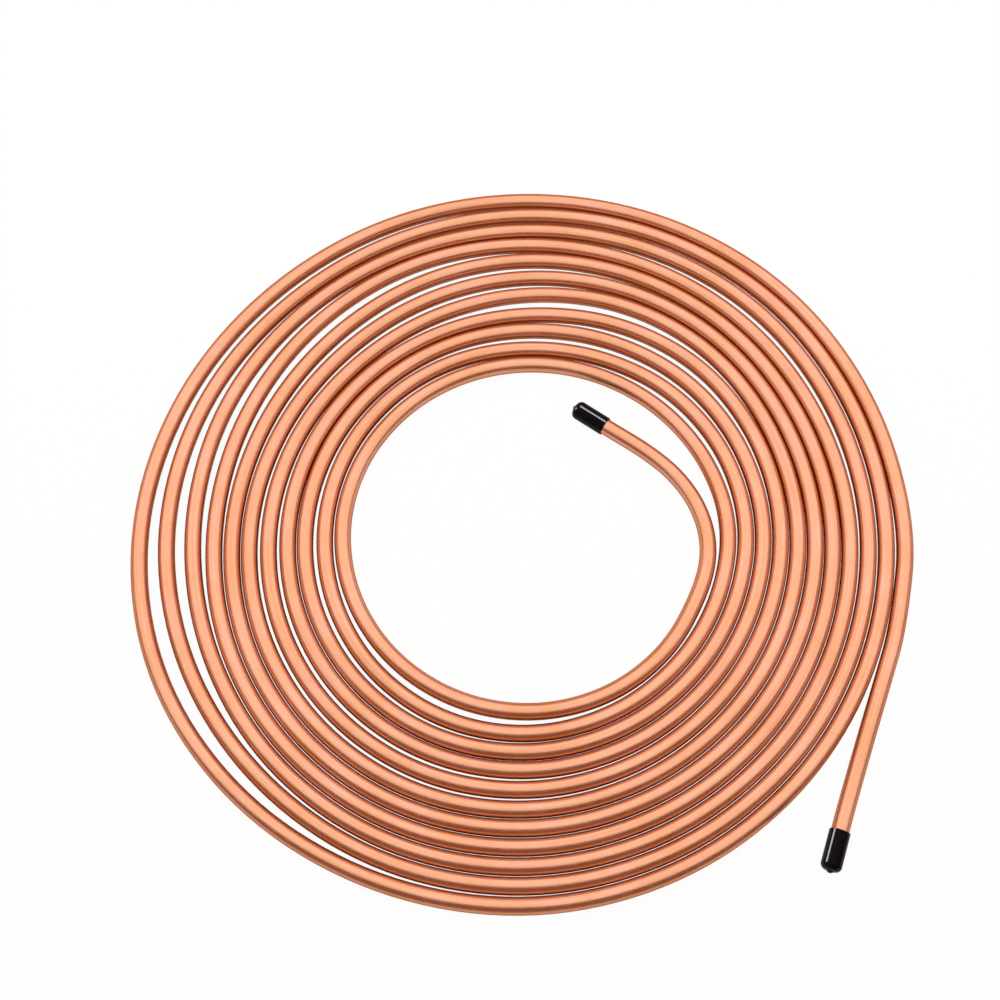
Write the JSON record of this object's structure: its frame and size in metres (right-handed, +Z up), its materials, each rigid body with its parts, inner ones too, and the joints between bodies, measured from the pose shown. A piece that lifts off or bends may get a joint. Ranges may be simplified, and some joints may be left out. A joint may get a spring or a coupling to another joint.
{
  "type": "flat coil of copper tube with capped ends",
  "caption": "Coil of quarter-inch copper tube, 25 ft long, wound flat in eleven loose turns, with a black vinyl cap pushed on each free end.",
  "frame": {"origin": "on the floor under the middle of the whole part's box", "axes": "+Z up out of the floor, +X to the side where the outer end leaves the coil, and the outer end points mostly along -Y"},
  "size_m": [0.2977, 0.2945, 0.0074],
  "materials": {
    "copper": "satin",
    "black_vinyl": "gloss"
  },
  "bodies": {
    "root": {"brake_tube": "copper", "outer_end_cap": "black_vinyl", "inner_end_cap": "black_vinyl"}
  },
  "joints": []
}
